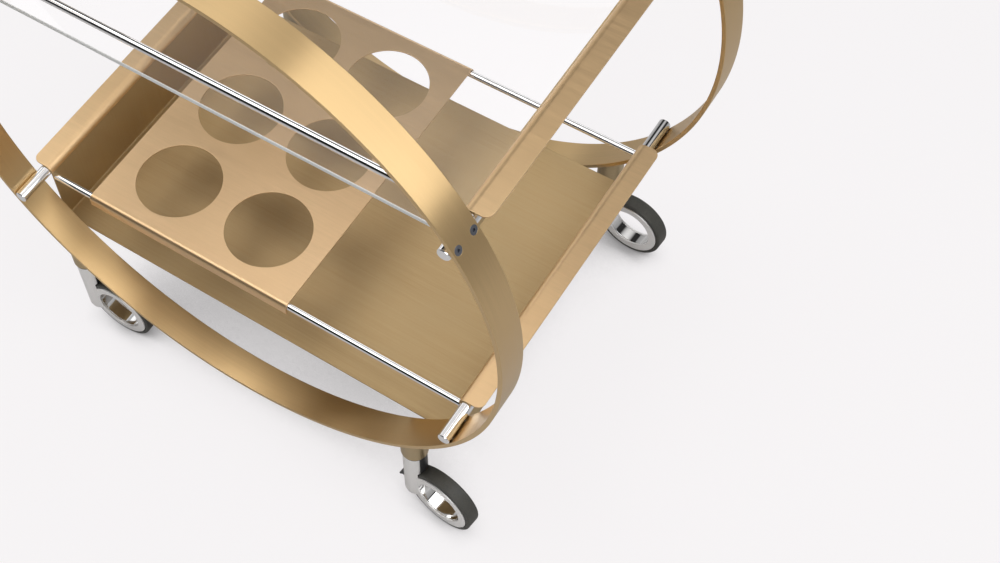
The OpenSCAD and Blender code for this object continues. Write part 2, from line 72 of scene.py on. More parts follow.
# Rods, rails, trays, bottle holder and shelf
ROD_CHAMFER = 0.8 * MM
ROD_EDGE_R = 0.25 * MM
RAIL_EDGE_R = 0.3 * MM
RAIL_HEAD_R = 2.75 * MM
RAIL_HEAD_H = 1.8 * MM
RAIL_HEAD_EDGE_R = 1.1 * MM
RAIL_SOCKET_R = 1.05 * MM
SHEET_T = 2 * MM
WRAP_GAP = 0.3 * MM
BEND_R = 1.5 * MM
FLANGE_CORNER_R = 9 * MM
LEDGE_CORNER_R = 5 * MM
HOLDER_T = 1.5 * MM
BOTTLE_R = 50 * MM
BOTTLE_PITCH = (125.5 * MM, 119 * MM)
GLASS_CORNER_R = 3 * MM
PAD_EDGE_R = 0.3 * MM

# Posts, casters and wheels
POST_EDGE = 0.8 * MM
POST_EDGE_R = 0.25 * MM
WASHER_HOLE_R = 5.3 * MM
WASHER_EDGE_R = 0.2 * MM
COLUMN_R = 14 * MM
COLUMN_LOW = 19 * MM
COLUMN_TOP = 114.7 * MM
COLUMN_ROUND_R = 10 * MM
COLUMN_EDGE_R = 1 * MM
CORE_W = 13 * MM
TREAD_GAP = 1.2 * MM
TREAD_CUT_W = 18.6 * MM
FACE_IN = 7.6 * MM
FACE_OUT = 9.9 * MM
FACE_R = 38.25 * MM
FACE_EDGE = 0.7 * MM
BORE_R = 28.75 * MM
RACE_T = 2.8 * MM
RACE_EDGE_R = 0.35 * MM
WHEEL_R = 43.5 * MM
TREAD_W = 18 * MM
TREAD_IN_R = 38.85 * MM
TREAD_IN_EDGE_R = 0.8 * MM
SHOULDER_R = 2 * MM
FOOT_W = 14 * MM
FOOT_R = 36.15 * MM
FOOT_EDGE_R = 0.2 * MM

# Brake levers
BRAKE_PIN_H = 52 * MM
BRAKE_PIN_R = 1.5 * MM
BRAKE_W = 8 * MM
BRAKE_SLOT_GAP = 0.3 * MM
BRAKE_PRESS = math.radians(12)
NUB_ROOM = 0.3 * MM
PEDAL_DROP = 24 * MM
PEDAL_OUT = 9.5 * MM
PEDAL_T = 3 * MM
PEDAL_CORNERS = (0.5 * MM, 0.4 * MM, 0.8 * MM, 0.4 * MM, 0.6 * MM)

# How far a cutting tool reaches past what it cuts, over an edge or over a whole caster
OVERRUN = 1 * MM
FAR = 4 * COLUMN_R

# Widths of the broken edges of each kind of piece, and the least radius of a turned edge
HOOP_BREAK = 0.15 * MM
SCREW_BREAK = 0.12 * MM
RAIL_SCREW_BREAK = 0.08 * MM
SHEET_BREAK = 0.35 * MM
HOLDER_BREAK = 0.45 * MM
GLASS_BREAK = 0.7 * MM
POST_BREAK = 0.2 * MM
SHELL_BREAK = 0.35 * MM
CORE_BREAK = 0.25 * MM
LEVER_BREAK = 0.3 * MM
FINE_R = 0.1 * MM

# How finely round forms and rounded edges are divided
HOOP_STEPS = 384
WHEEL_STEPS = 160
ROUND_STEPS = 96
SMALL_STEPS = 48
NUB_STEPS = 32
CORNER_STEPS = 12
BEND_STEPS = 10
COLUMN_EDGE_STEPS = 10
GLASS_EDGE_STEPS = 8
HEAD_EDGE_STEPS = 6
TYRE_EDGE_STEPS = 5
EDGE_STEPS = 3

# Angles from which an edge is sharp, and half the angle from which a corner is straight
SHARP = math.radians(35)
SQUARE = math.radians(60)
STRAIGHT = math.pi / 2 - 1e-4

# Distances within which points are taken to be one, or to lie on an axis
MERGE = 0.02 * MM
SAME_POINT = 1e-7
ON_AXIS = 1e-9

# Least upward share of a level face's normal, and decimals that tell places in metres apart
LEVEL = 0.99
DECIMALS = 5

# Material slots of broken edges and of bent flanges, whose lighter tone is painted light
EDGE_SLOT = 1
FLANGE_PAINTED_LIGHT_SLOT = 2

SIDES = (("front", -1), ("rear", 1))
ENDS = (("left", -1), ("right", 1))

# Local Z along the cart's Y or X, an outline in X and height extruded along Y, and one in Y and
# height extruded along X
ALONG_Y = Matrix.Rotation(math.radians(-90), 4, "X")
ALONG_X = Matrix.Rotation(math.radians(90), 4, "Y")
UPRIGHT = Matrix.Rotation(math.radians(90), 4, "X")
ACROSS = Matrix(((0, 0, 1, 0), (1, 0, 0, 0), (0, 1, 0, 0), (0, 0, 0, 1)))


def arc(cx, cy, r, start, end, steps):
    """Points on an arc, its ends included, in degrees."""
    angles = [math.radians(start + (end - start) * i / steps) for i in range(steps + 1)]
    return [(cx + r * math.cos(a), cy + r * math.sin(a)) for a in angles]


def bar(radius, low, high):
    """Outline of a plain turned bar, for lathe."""
    return [(0, low), (radius, low), (radius, high), (0, high)]


def hexagon(radius):
    """Outline of a hexagon socket."""
    angles = [math.radians(60 * k) for k in range(6)]
    return [(radius * math.cos(a), radius * math.sin(a)) for a in angles]


def softened(points, radii, steps=EDGE_STEPS):
    """Closed outline with each corner rounded by its radius, or by one radius for all."""
    count = len(points)
    radii = [radii] * count if isinstance(radii, float) else radii
    out = []
    for i, radius in enumerate(radii):
        here = Vector(points[i])
        back = (Vector(points[i - 1]) - here).normalized()
        ahead = (Vector(points[(i + 1) % count]) - here).normalized()
        half = back.angle(ahead) / 2
        if radius == 0 or half > STRAIGHT:
            out.append(tuple(here))
            continue
        centre = here + (back + ahead).normalized() * radius / math.sin(half)
        first = here + back * radius / math.tan(half) - centre
        last = here + ahead * radius / math.tan(half) - centre
        turn = math.atan2(first.cross(last), first.dot(last))
        for k in range(steps + 1):
            a = turn * k / steps
            x = first.x * math.cos(a) - first.y * math.sin(a)
            y = first.x * math.sin(a) + first.y * math.cos(a)
            out.append((centre.x + x, centre.y + y))
    return out


def as_object(name, bm, place=None):
    """Mesh object from a bmesh, moved into the cart's frame and shaded smooth."""
    bmesh.ops.remove_doubles(bm, verts=bm.verts, dist=SAME_POINT)
    bmesh.ops.recalc_face_normals(bm, faces=bm.faces)
    if place is not None:
        bm.transform(place)
    mesh = bpy.data.meshes.new(name)
    bm.to_mesh(mesh)
    bm.free()
    mesh.shade_smooth()
    obj = bpy.data.objects.new(name, mesh)
    bpy.context.scene.collection.objects.link(obj)
    return obj


def lathe(name, outline, steps, place=None):
    """Turned solid from a closed outline of radius and height about local Z."""
    bm = bmesh.new()
    angles = [2 * math.pi * k / steps for k in range(steps)]
    rings = []
    for radius, height in outline:
        if radius < ON_AXIS:
            rings.append([bm.verts.new((0, 0, height))] * steps)
            continue
        rings.append([bm.verts.new((radius * math.cos(a), radius * math.sin(a), height))
                      for a in angles])
    for i, ring in enumerate(rings):
        after = rings[(i + 1) % len(rings)]
        for k in range(steps):
            corners_of_face = [ring[k], ring[(k + 1) % steps], after[(k + 1) % steps], after[k]]
            unique = list(dict.fromkeys(corners_of_face))
            if len(unique) > 2:
                bm.faces.new(unique)
    return as_object(name, bm, place)


def prism(name, outline, low, high, place=None):
    """Closed outline in local X and Y, extruded from low to high along local Z."""
    bm = bmesh.new()
    bottom = [bm.verts.new((x, y, low)) for x, y in outline]
    top = [bm.verts.new((x, y, high)) for x, y in outline]
    count = len(outline)
    for k in range(count):
        after = (k + 1) % count
        bm.faces.new([bottom[k], bottom[after], top[after], top[k]])
    bm.faces.new(bottom)
    bm.faces.new(top)
    return as_object(name, bm, place)


def settle(obj):
    """Applies the object's modifiers to its mesh."""
    graph = bpy.context.evaluated_depsgraph_get()
    made = bpy.data.meshes.new_from_object(obj.evaluated_get(graph))
    obj.modifiers.clear()
    obj.data = made
    obj.data.shade_smooth()


def combine(target, tools, operation="DIFFERENCE"):
    """Applies a boolean with each tool to the target, and removes the tools."""
    for tool in tools:
        step = target.modifiers.new("step", "BOOLEAN")
        step.operation = operation
        step.solver = "EXACT"
        step.object = tool
        settle(target)
        bpy.data.objects.remove(tool)


def weld(obj):
    """Joins points that all but touch."""
    made = obj.modifiers.new("weld", "WELD")
    made.merge_threshold = MERGE


def break_edges(obj, width, steps=2, clamp=True, limit=SHARP):
    """Rounds the edges sharper than the limit, in the piece's second material."""
    weld(obj)
    bevel = obj.modifiers.new("edges", "BEVEL")
    bevel.width = width
    bevel.segments = steps
    bevel.limit_method = "ANGLE"
    bevel.angle_limit = limit
    bevel.use_clamp_overlap = clamp
    bevel.miter_outer = "MITER_ARC"
    bevel.material = EDGE_SLOT
    weld(obj)
    settle(obj)


def repeat(pattern, places):
    """Fills the pattern's mesh with a copy of it at each place."""
    bm = bmesh.new()
    for place in places:
        one = pattern.data.copy()
        one.transform(place)
        bm.from_mesh(one)
        bpy.data.meshes.remove(one)
    bm.to_mesh(pattern.data)
    bm.free()


def four_places(x, y):
    """Places at plus and minus x and y."""
    return [Matrix.Translation((sx * x, sy * y, 0)) for sx in (-1, 1) for sy in (-1, 1)]


def even_shading(obj):
    """Keeps flat faces flat beside their rounded edges."""
    obj.data.set_sharp_from_angle(angle=SHARP)
    weigh = obj.modifiers.new("shading", "WEIGHTED_NORMAL")
    weigh.keep_sharp = True
    weigh.weight = 80


def piece(obj, body, slot, materials, *nodes):
    """Gives a finished mesh its materials, its body and the CAD nodes that it stands for."""
    for material in materials:
        obj.data.materials.append(material)
    even_shading(obj)
    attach(obj, body)
    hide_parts(*nodes)


def cad_piece(node, material):
    """Leaves a CAD node as it is, with a better material."""
    obj = frame["nodes"][node]
    obj.data.materials.clear()
    obj.data.materials.append(material)


class Nodes:
    """Short calls for building a node tree."""

    def __init__(self, tree):
        self.tree = tree

    def add(self, kind, **settings):
        """A new node with its settings."""
        made = self.tree.nodes.new(kind)
        for key, value in settings.items():
            setattr(made, key, value)
        return made

    def link(self, source, target):
        """Links an output to an input."""
        self.tree.links.new(source, target)

    def put(self, target, value):
        """Links a socket, or sets a plain value."""
        if isinstance(value, bpy.types.NodeSocket):
            self.link(value, target)
        else:
            target.default_value = value

    def maths(self, operation, a, b=0.0):
        """One operation on one or two numbers."""
        made = self.add("ShaderNodeMath", operation=operation)
        self.put(made.inputs[0], a)
        self.put(made.inputs[1], b)
        return made.outputs[0]

    def mean(self, a, b):
        """The mean of two numbers."""
        return self.maths("ADD", self.maths("MULTIPLY", a, 0.5), self.maths("MULTIPLY", b, 0.5))

    def ranged(self, value, low, high, new_low, new_high):
        """Takes the range from low to high to the one from new_low to new_high."""
        made = self.add("ShaderNodeMapRange")
        self.put(made.inputs["Value"], value)
        for key, number in (("From Min", low), ("From Max", high),
                            ("To Min", new_low), ("To Max", new_high)):
            made.inputs[key].default_value = number
        return made.outputs["Result"]

    def seen(self, rays):
        """1 for what the camera sees straight or through glass, and 0 for the rest."""
        return self.maths("MAXIMUM", rays["Is Camera Ray"], rays["Is Transmission Ray"])

    def either(self, share, first, second):
        """Mixes two shaders, with this share of the second."""
        made = self.add("ShaderNodeMixShader")
        self.link(share, made.inputs[0])
        self.link(first, made.inputs[1])
        self.link(second, made.inputs[2])
        return made.outputs[0]


class Finish(Nodes):
    """The node tree of a new material, with its main shader."""

    def __init__(self, name):
        self.material = bpy.data.materials.new(name)
        self.material.use_nodes = True
        super().__init__(self.material.node_tree)
        self.shader = self.tree.nodes["Principled BSDF"]
        self.surface = self.tree.nodes["Material Output"].inputs["Surface"]
        self.place = self.add("ShaderNodeTexCoord").outputs["Object"]

    def scaled(self, vector, scale):
        """A vector times a scale for each axis."""
        made = self.add("ShaderNodeVectorMath", operation="MULTIPLY")
        self.put(made.inputs[0], vector)
        made.inputs[1].default_value = scale
        return made.outputs[0]

    def noise(self, vector, scale=1.0, detail=2.0, rough=0.5):
        """Soft random pattern around 0.5."""
        made = self.add("ShaderNodeTexNoise")
        self.put(made.inputs["Vector"], vector)
        made.inputs["Scale"].default_value = scale
        made.inputs["Detail"].default_value = detail
        made.inputs["Roughness"].default_value = rough
        return made.outputs["Fac"]

    def mixed(self, share, first, second):
        """Mixes two colours, with this share of the second."""
        made = self.add("ShaderNodeMix", data_type="RGBA")
        self.put(made.inputs["Factor"], share)
        self.put(made.inputs[6], first)
        self.put(made.inputs[7], second)
        return made.outputs[2]

    def open_share(self, distance, samples):
        """1 in the open, and less where something is within the distance."""
        made = self.add("ShaderNodeAmbientOcclusion", samples=samples)
        made.inputs["Distance"].default_value = distance
        return made.outputs["AO"]

    def bump(self, height, strength, distance):
        """Raises the surface a little where the height is large."""
        made = self.add("ShaderNodeBump")
        made.inputs["Strength"].default_value = strength
        made.inputs["Distance"].default_value = distance
        self.link(height, made.inputs["Height"])
        self.link(made.outputs["Normal"], self.shader.inputs["Normal"])

    def set(self, **values):
        """Sets or links inputs of the main shader."""
        for key, value in values.items():
            self.put(self.shader.inputs[key.replace("_", " ")], value)


def toned(colour, share):
    """A colour times a share, opaque."""
    return [c * share for c in colour] + [1]


def round_place(nodes, centre):
    """Place for grain that runs round an axis along Y.

    It is the angle's sine and cosine, which have no seam where the angle itself has one, and
    between them the sum of the place along the axis and the radius.
    """
    moved = nodes.add("ShaderNodeVectorMath", operation="SUBTRACT")
    nodes.link(nodes.place, moved.inputs[0])
    moved.inputs[1].default_value = centre
    split = nodes.add("ShaderNodeSeparateXYZ")
    nodes.link(moved.outputs[0], split.inputs[0])
    x, y, z = split.outputs
    radius = nodes.maths("SQRT", nodes.maths("ADD", nodes.maths("MULTIPLY", x, x),
                                             nodes.maths("MULTIPLY", z, z)))
    joined = nodes.add("ShaderNodeCombineXYZ")
    nodes.link(nodes.maths("DIVIDE", x, radius), joined.inputs[0])
    nodes.link(nodes.maths("ADD", y, radius), joined.inputs[1])
    nodes.link(nodes.maths("DIVIDE", z, radius), joined.inputs[2])
    return joined.outputs[0]


def brushed(name, colour, grain, roughness, spread, tangent=None, turned=None, centre=None):
    """Brushed metal whose streaks are long where the grain's scale is small.

    The streaks run straight, or round the centre. The tangent is a direction, or radial about
    the axis that the piece is turned on.
    """
    nodes = Finish(name)
    base = nodes.place if centre is None else round_place(nodes, centre)
    fine = nodes.noise(nodes.scaled(base, grain), detail=3.0, rough=0.6)
    broad = nodes.noise(nodes.scaled(base, [g * 0.2 for g in grain]), detail=3.0, rough=0.6)
    cloud = nodes.noise(nodes.place, scale=7.0, detail=2.0)
    streak = nodes.mean(fine, broad)
    tone = nodes.mixed(nodes.ranged(streak, 0.38, 0.62, 0.0, 1.0), toned(colour, 0.95),
                       toned(colour, 1.04))
    warm = [colour[0] * 0.98, colour[1] * 0.96, colour[2] * 0.92, 1]
    tone = nodes.mixed(nodes.ranged(cloud, 0.35, 0.65, 0.0, 0.6), tone, warm)
    rough = nodes.ranged(streak, 0.3, 0.7, roughness * 0.85, roughness * 1.15)
    nodes.set(Base_Color=tone, Roughness=rough, Metallic=1.0, Anisotropic=spread)
    # The highlight is long across the streaks
    if turned is None:
        along = nodes.add("ShaderNodeCombineXYZ")
        for socket, value in zip(along.inputs, tangent):
            socket.default_value = value
        nodes.link(along.outputs[0], nodes.shader.inputs["Tangent"])
    else:
        radial = nodes.add("ShaderNodeTangent", direction_type="RADIAL", axis=turned)
        nodes.link(radial.outputs[0], nodes.shader.inputs["Tangent"])
        nodes.set(Anisotropic_Rotation=0.25)
    nodes.bump(streak, strength=0.10, distance=0.03 * MM)
    return nodes.material


def polished(name, colour, roughness):
    """Bright metal with faint wipe marks in its gloss."""
    nodes = Finish(name)
    smear = nodes.noise(nodes.scaled(nodes.place, (40, 90, 40)), detail=4.0, rough=0.6)
    dust = nodes.noise(nodes.place, scale=900.0, detail=2.0)
    rough = nodes.maths("ADD", nodes.ranged(smear, 0.35, 0.7, roughness * 0.6, roughness * 1.5),
                        nodes.ranged(dust, 0.62, 0.75, 0.0, 0.03))
    tone = nodes.mixed(nodes.ranged(smear, 0.3, 0.7, 0.0, 1.0), toned(colour, 0.96),
                       toned(colour, 1))
    nodes.set(Base_Color=tone, Roughness=rough, Metallic=1.0)
    return nodes.material


def satin(name, colour, roughness):
    """Bead-blasted and plated metal with a fine grain."""
    nodes = Finish(name)
    grain = nodes.noise(nodes.place, scale=2600.0, detail=2.0)
    cloud = nodes.noise(nodes.place, scale=45.0, detail=3.0)
    rough = nodes.ranged(cloud, 0.3, 0.7, roughness * 0.85, roughness * 1.2)
    tone = nodes.mixed(nodes.ranged(grain, 0.3, 0.7, 0.0, 1.0), toned(colour, 0.95),
                       toned(colour, 1))
    nodes.set(Base_Color=tone, Roughness=rough, Metallic=1.0)
    nodes.bump(grain, strength=0.10, distance=0.04 * MM)
    return nodes.material


def moulded(name, deep, pale, roughness, scale, bump):
    """Moulded plastic or rubber with a fine surface."""
    nodes = Finish(name)
    grain = nodes.noise(nodes.place, scale=scale, detail=3.0)
    cloud = nodes.noise(nodes.place, scale=60.0, detail=3.0)
    tone = nodes.mixed(nodes.ranged(nodes.mean(grain, cloud), 0.35, 0.65, 0.0, 1.0),
                       toned(deep, 1), toned(pale, 1))
    rough = nodes.ranged(cloud, 0.3, 0.7, roughness * 0.85, roughness * 1.15)
    nodes.set(Base_Color=tone, Roughness=rough)
    nodes.bump(grain, strength=bump, distance=0.1 * MM)
    return nodes.material


def clear(name, colour, roughness=0.0, through=1.0):
    """Clear glass or plastic that light passes straight through to what is under it."""
    nodes = Finish(name)
    smear = nodes.noise(nodes.place, scale=14.0, detail=4.0)
    nodes.set(Base_Color=toned(colour, 1), Transmission_Weight=through, IOR=1.5,
              Roughness=nodes.ranged(smear, 0.5, 0.8, roughness, roughness + 0.03))
    see_through = nodes.add("ShaderNodeBsdfTransparent")
    see_through.inputs["Color"].default_value = toned(colour, 0.96)
    rays = nodes.add("ShaderNodeLightPath").outputs
    passing = nodes.maths("MAXIMUM", rays["Is Shadow Ray"], rays["Is Diffuse Ray"])
    nodes.link(nodes.either(passing, nodes.shader.outputs[0], see_through.outputs[0]),
               nodes.surface)
    return nodes.material


# Places that come from the frame
front_low, front_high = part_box("hoop_front")
rear_low, rear_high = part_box("hoop_rear")
tray_low, tray_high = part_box("lower_tray")
BAND_W = front_high.y - front_low.y
HOOP_H = (front_low.z + front_high.z) / 2
HOOP_Y = (rear_low.y + rear_high.y) / 2
TRAY_Y = tray_high.y
JOINTS = {j["name"]: j for j in frame["joints"]}

OLIVE_BRASS = (0.56, 0.425, 0.24)
BRASS = (0.64, 0.455, 0.235)
# Lighter tone for the bottle holder: painted light on its top
PEACH_BRASS_PAINTED_LIGHT = (0.68, 0.48, 0.28)
# Lighter tone for the flanges of the same sheets: painted light on their tops
FLANGE_BRASS_PAINTED_LIGHT = (0.75, 0.53, 0.30)
# Darker tone for the posts: painted shade under the hoops
POST_BRASS_PAINTED_SHADE = (0.48, 0.37, 0.22)
BRASS_EDGE = (0.80, 0.64, 0.42)
# Grain of the sheets that are brushed along X
SHEET_GRAIN = (60.0, 1400.0, 1400.0)

hoop_brass = {
    key: brushed("brushed_hoop_" + key, BRASS, grain=(9.0, 1800.0, 9.0), roughness=0.34,
                 spread=0.8, turned="Y", centre=(0, side * HOOP_Y, HOOP_H))
    for key, side in SIDES
}
sheet_brass = brushed("brushed_sheet", OLIVE_BRASS, grain=(25.0, 1800.0, 25.0), roughness=0.75,
                      spread=0.5, tangent=(0, 1, 0))
holder_brass_painted_light = brushed("brushed_holder_painted_light", PEACH_BRASS_PAINTED_LIGHT, grain=SHEET_GRAIN, roughness=0.40,
                       spread=0.3, tangent=(1, 0, 0))
flange_brass_painted_light = brushed("brushed_flange_painted_light", FLANGE_BRASS_PAINTED_LIGHT, grain=SHEET_GRAIN, roughness=0.40,
                       spread=0.3, tangent=(1, 0, 0))
post_brass_painted_shade = brushed("turned_post_painted_shade", POST_BRASS_PAINTED_SHADE, grain=(60.0, 60.0, 2400.0), roughness=0.34,
                     spread=0.7, turned="Z")
edge_brass = polished("brass_edge", BRASS_EDGE, roughness=0.22)
chrome = polished("chrome", (0.86, 0.86, 0.87), roughness=0.05)
bore_chrome = polished("bore_chrome", (0.82, 0.82, 0.82), roughness=0.05)
screw_steel = satin("screw_steel", (0.19, 0.20, 0.23), roughness=0.25)
satin_silver = satin("satin_silver", (0.97, 0.96, 0.95), roughness=0.40)
satin_edge = satin("satin_edge", (0.86, 0.85, 0.83), roughness=0.22)
black_plastic = moulded("black_plastic", deep=(0.012, 0.012, 0.013), pale=(0.025, 0.025, 0.027),
                        roughness=0.42, scale=1500.0, bump=0.2)
grey_nylon = moulded("grey_nylon", deep=(0.09, 0.09, 0.10), pale=(0.13, 0.13, 0.14),
                     roughness=0.5, scale=1500.0, bump=0.15)
rubber = moulded("rubber", deep=(0.032, 0.032, 0.028), pale=(0.066, 0.064, 0.055),
                 roughness=0.55, scale=900.0, bump=0.35)
glass = clear("clear_glass", (1.0, 1.0, 1.0))
glass_edge = clear("glass_edge", (0.97, 0.99, 0.98), roughness=0.45, through=0.35)
pad_clear = clear("clear_pad", (0.93, 0.95, 0.94), roughness=0.15)


def hoop_place(side):
    """A hoop's centre, local Z along the cart's Y."""
    return Matrix.Translation((0, side * HOOP_Y, HOOP_H)) @ ALONG_Y


def joint_places(sides):
    """Frames on a hoop's outer face, local Z outward, one for each screw."""
    for side in sides:
        for angle in JOINT_ANGLES:
            for k in (-0.5, 0.5):
                y = side * HOOP_Y + k * SCREW_PITCH
                yield (Matrix.Translation((0, y, HOOP_H))
                       @ Matrix.Rotation(math.pi / 2 - angle, 4, "Y")
                       @ Matrix.Translation((0, 0, HOOP_R)))


def make_hoop(key, side):
    """A hoop with countersunk holes for its screws."""
    half = BAND_W / 2
    inner = HOOP_R - BAND_T
    section = [(inner, -half), (HOOP_R, -half), (HOOP_R, half), (inner, half)]
    hoop = lathe("hoop_" + key + "_band", softened(section, BAND_EDGE_R), HOOP_STEPS,
                 hoop_place(side))
    head = SCREW_HEAD_R + SCREW_FIT
    shank = SCREW_SHANK_R + SCREW_FIT
    hole = [(0, -BAND_T - OVERRUN), (shank, -BAND_T - OVERRUN), (shank, -SCREW_CONE_H),
            (head + OVERRUN, OVERRUN), (0, OVERRUN)]
    combine(hoop, [lathe("tool", hole, SMALL_STEPS, place) for place in joint_places([side])])
    break_edges(hoop, HOOP_BREAK)
    piece(hoop, "frame", "brass_finish", [hoop_brass[key], edge_brass], "hoop_" + key)


def make_hoop_screws():
    """Countersunk screws with hexagon sockets, all in one piece."""
    outline = softened([(0, -SCREW_REACH), (SCREW_SHANK_R, -SCREW_REACH),
                        (SCREW_SHANK_R, -SCREW_CONE_H), (SCREW_HEAD_R, -SCREW_RIM_H),
                        (SCREW_HEAD_R, 0), (0, 0)],
                       [0, SCREW_TIP_R, 0, FINE_R, SCREW_RIM_R, 0])
    screw = lathe("hoop_screw_set", outline, SMALL_STEPS)
    combine(screw, [prism("tool", hexagon(SCREW_SOCKET_R), -SCREW_SOCKET_H, OVERRUN)])
    break_edges(screw, SCREW_BREAK)
    sunk = Matrix.Translation((0, 0, -SCREW_SUNK))
    repeat(screw, [place @ sunk for place in joint_places((-1, 1))])
    piece(screw, "frame", "screw_steel", [screw_steel, satin_edge], "hoop_screws")


def make_rod(node):
    """A cross rod with chamfered ends."""
    low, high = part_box(node)
    radius = (high.x - low.x) / 2
    half = (high.y - low.y) / 2
    outline = softened([(0, -half), (radius - ROD_CHAMFER, -half), (radius, -half + ROD_CHAMFER),
                        (radius, half - ROD_CHAMFER), (radius - ROD_CHAMFER, half), (0, half)],
                       [0, ROD_EDGE_R, ROD_EDGE_R, ROD_EDGE_R, ROD_EDGE_R, 0])
    rod = lathe(node + "_bar", outline, ROUND_STEPS,
                Matrix.Translation((low + high) / 2) @ ALONG_Y)
    piece(rod, "frame", "polished_steel", [chrome], node)


def make_rail(node):
    """A thin rail between two upstands."""
    low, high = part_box(node)
    radius = (high.y - low.y) / 2
    half = (high.x - low.x) / 2
    outline = softened(bar(radius, -half, half), [0, RAIL_EDGE_R, RAIL_EDGE_R, 0])
    rail = lathe(node + "_bar", outline, ROUND_STEPS,
                 Matrix.Translation((low + high) / 2) @ ALONG_X)
    piece(rail, "frame", "polished_steel", [chrome], node)


def rod_section(node):
    """Place in X, height and radius of a cross rod."""
    low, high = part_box(node)
    return (low.x + high.x) / 2, (low.z + high.z) / 2, (high.x - low.x) / 2


def end_outline(rod_x, rod_h, rod_r, outer_x, inner_x, low_h):
    """Outline in X and height of a sheet end: flange, wrap, upstand and foot, at the right."""
    wrap = rod_r + WRAP_GAP
    face = rod_x - wrap - SHEET_T
    bend_x = face - BEND_R
    bend_h = low_h + SHEET_T + BEND_R
    outside = arc(rod_x, rod_h, wrap + SHEET_T, 90, 180, BEND_STEPS)
    inside = arc(rod_x, rod_h, wrap, 180, 90, BEND_STEPS)
    inner_bend = arc(bend_x, bend_h, BEND_R, 0, -90, BEND_STEPS)
    outer_bend = arc(bend_x, bend_h, BEND_R + SHEET_T, -90, 0, BEND_STEPS)
    foot = [(inner_x, low_h + SHEET_T), (inner_x, low_h)]
    flange = [(outer_x, rod_h + wrap), (outer_x, rod_h + wrap + SHEET_T)]
    return outside + inner_bend + foot + outer_bend + inside + flange


def corner_tool(x, y, z, r, sign_x, sign_y):
    """What rounds off a square corner at x, y that points along the signs."""
    outside = [(OVERRUN, -r), (OVERRUN, OVERRUN), (-r, OVERRUN)]
    outline = outside + arc(-r, -r, r, 90, 0, CORNER_STEPS)
    outline = [(x + sign_x * u, y + sign_y * v) for u, v in outline]
    return prism("tool", outline, z - 4 * SHEET_T, z + 4 * SHEET_T)


def paint_flange_light(sheet, bend_h):
    """Gives the flange and the bend under it a lighter, smoother brass: the lighter tone is
    painted light.
    """
    for face in sheet.data.polygons:
        if face.material_index == 0 and face.center.z > bend_h:
            face.material_index = FLANGE_PAINTED_LIGHT_SLOT


def make_lower_tray():
    """The lower tray, one sheet with both its ends bent over the lower cross rods."""
    rod_x, rod_h, rod_r = rod_section("cross_rod_lower_right")
    half = end_outline(rod_x, rod_h, rod_r, tray_high.x, 0, tray_low.z)
    # The foot's two points at X = 0 give way to the mirrored half
    cut = 2 * (BEND_STEPS + 1)
    right_top, right_low = half[:cut], half[cut + 2:]
    left_top = [(-x, z) for x, z in reversed(right_top)]
    left_low = [(-x, z) for x, z in reversed(right_low)]
    outline = right_top + left_top + left_low + right_low
    tray = prism("lower_tray_sheet", outline, -TRAY_Y, TRAY_Y, UPRIGHT)
    combine(tray, [corner_tool(sx * tray_high.x, sy * TRAY_Y, tray_high.z, FLANGE_CORNER_R, sx, sy)
                   for sx in (-1, 1) for sy in (-1, 1)])
    break_edges(tray, SHEET_BREAK)
    paint_flange_light(tray, rod_h)
    piece(tray, "frame", "brass_finish", [sheet_brass, edge_brass, flange_brass_painted_light], "lower_tray")


def make_bracket(key, end):
    """One end of the upper tray, with the ledge that carries the glass."""
    node = "shelf_bracket_" + key
    low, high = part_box(node)
    rod_x, rod_h, rod_r = rod_section("cross_rod_upper_right")
    outer_x = max(abs(low.x), abs(high.x))
    inner_x = min(abs(low.x), abs(high.x))
    right = end_outline(rod_x, rod_h, rod_r, outer_x, inner_x, low.z)
    bracket = prism(node + "_sheet", [(end * x, z) for x, z in right], -TRAY_Y, TRAY_Y, UPRIGHT)
    flange_tools = [corner_tool(end * outer_x, sy * TRAY_Y, high.z, FLANGE_CORNER_R, end, sy)
                    for sy in (-1, 1)]
    ledge_tools = [corner_tool(end * inner_x, sy * TRAY_Y, low.z, LEDGE_CORNER_R, -end, sy)
                   for sy in (-1, 1)]
    combine(bracket, flange_tools + ledge_tools)
    break_edges(bracket, SHEET_BREAK)
    paint_flange_light(bracket, rod_h)
    piece(bracket, "frame", "brass_finish", [sheet_brass, edge_brass, flange_brass_painted_light], node)


def rail_ends():
    """Where the rail screws' heads sit on the upstands, local Z outward."""
    for node in ("rail_lower_front", "rail_lower_rear", "rail_upper_front", "rail_upper_rear"):
        low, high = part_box(node)
        middle = (low + high) / 2
        for end in (-1, 1):
            yield (Matrix.Translation((end * (high.x + SHEET_T), middle.y, middle.z))
                   @ Matrix.Rotation(end * math.pi / 2, 4, "Y"))


def make_rail_screws():
    """Button heads outside the upstands, all in one piece."""
    head = softened(bar(RAIL_HEAD_R, 0, RAIL_HEAD_H), [0, FINE_R, RAIL_HEAD_EDGE_R, 0],
                    HEAD_EDGE_STEPS)
    screw = lathe("rail_screw_set", head, SMALL_STEPS)
    combine(screw, [prism("tool", hexagon(RAIL_SOCKET_R), RAIL_HEAD_H / 2, RAIL_HEAD_H + OVERRUN)])
    break_edges(screw, RAIL_SCREW_BREAK)
    repeat(screw, rail_ends())
    piece(screw, "frame", "screw_steel", [screw_steel, satin_edge], "rail_screws")


